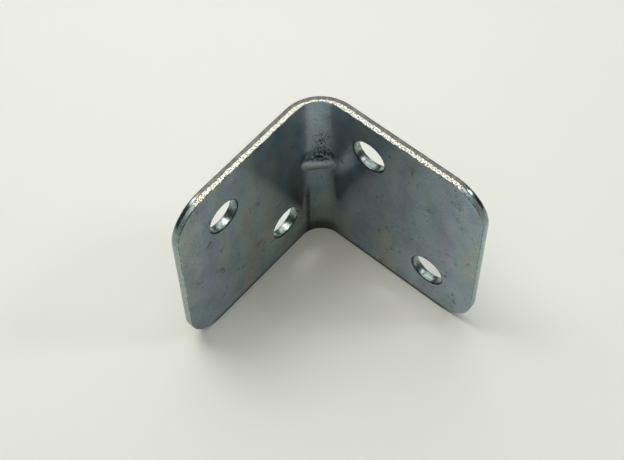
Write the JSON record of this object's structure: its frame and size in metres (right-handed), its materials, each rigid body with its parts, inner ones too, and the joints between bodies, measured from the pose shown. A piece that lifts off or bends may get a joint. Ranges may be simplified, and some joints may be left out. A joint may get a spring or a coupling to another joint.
{
  "type": "angle bracket",
  "caption": "Small right-angle bracket folded from one plated steel strip, with staggered punched screw holes, rounded corners and a short pressed dart in the fold.",
  "frame": {"origin": "the corner in which the two outer faces would meet if the fold were sharp, at the level of the standing edge", "axes": "+Z along the fold, +X along leg A, -Y along leg B; the outer faces lie in y = 0 and x = 0"},
  "size_m": [0.0278, 0.027, 0.03],
  "materials": {
    "zinc_plate": "satin zinc plating, slightly iridescent"
  },
  "bodies": {
    "root": {"angle_bracket": "zinc_plate"}
  },
  "joints": []
}
